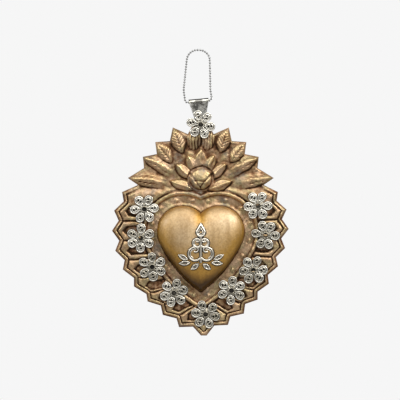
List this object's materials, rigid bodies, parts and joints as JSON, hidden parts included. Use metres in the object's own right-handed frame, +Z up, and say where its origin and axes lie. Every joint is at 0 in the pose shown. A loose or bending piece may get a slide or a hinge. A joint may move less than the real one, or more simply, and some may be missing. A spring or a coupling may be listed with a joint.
{
  "type": "hanging heart ornament",
  "caption": "Votive heart of worked sheet metal with toothed edge, leaf crest and filigree flowers, hung by a folded bail on a bead chain.",
  "frame": {"origin": "inside of the chain's arch, where a hook takes the weight", "axes": "+Z up along the hanging line, the front with the heart faces -Y, +X to the right seen from the front"},
  "size_m": [0.0884, 0.0118, 0.1432],
  "materials": {
    "worked_sheet": "patinated bronze-brown, rubbed gold on the raised parts",
    "golden_heart": "satin golden brass, lightly brushed",
    "sprig_silver": "bright silver with dark recesses",
    "oxidised_silver": "oxidised silver filigree",
    "bright_silver": "polished silver, slightly tarnished"
  },
  "bodies": {
    "chain": {"chain_beads": "bright_silver", "chain_wires": "bright_silver"},
    "bail": {"bail": "bright_silver"},
    "pendant": {"front_plate": "worked_sheet", "back_plate": "worked_sheet", "heart_dome": "golden_heart", "sprig_bud": "sprig_silver", "sprig_scrolls": "sprig_silver", "sprig_leaves": "sprig_silver", "flower_1_petals": "oxidised_silver", "flower_1_scrolls": "oxidised_silver", "flower_1_cup": "oxidised_silver", "flower_2_petals": "oxidised_silver", "flower_2_scrolls": "oxidised_silver", "flower_2_cup": "oxidised_silver", "flower_3_petals": "oxidised_silver", "flower_3_scrolls": "oxidised_silver", "flower_3_cup": "oxidised_silver", "flower_4_petals": "oxidised_silver", "flower_4_scrolls": "oxidised_silver", "flower_4_cup": "oxidised_silver", "flower_5_petals": "oxidised_silver", "flower_5_scrolls": "oxidised_silver", "flower_5_cup": "oxidised_silver", "flower_6_petals": "oxidised_silver", "flower_6_scrolls": "oxidised_silver", "flower_6_cup": "oxidised_silver", "flower_7_petals": "oxidised_silver", "flower_7_scrolls": "oxidised_silver", "flower_7_cup": "oxidised_silver", "flower_8_petals": "oxidised_silver", "flower_8_scrolls": "oxidised_silver", "flower_8_cup": "oxidised_silver", "flower_9_petals": "oxidised_silver", "flower_9_scrolls": "oxidised_silver", "flower_9_cup": "oxidised_silver", "flower_pins": "oxidised_silver", "bail_flower_petals": "oxidised_silver", "bail_flower_scrolls": "oxidised_silver", "bail_flower_cup": "oxidised_silver", "bail_rivet": "oxidised_silver"}
  },
  "joints": [
    {"name": "bail_swing", "type": "hinge", "parent": "chain", "child": "bail", "pos_m": [-0.00104, 0, -0.02524], "axis": [0.9959, 0, 0.0906], "range_deg": [-90, 90]},
    {"name": "plate_turn", "type": "hinge", "parent": "bail", "child": "pendant", "pos_m": [0, 0, -0.03669], "axis": [0, 1, 0], "range_deg": [-25, 15]}
  ]
}
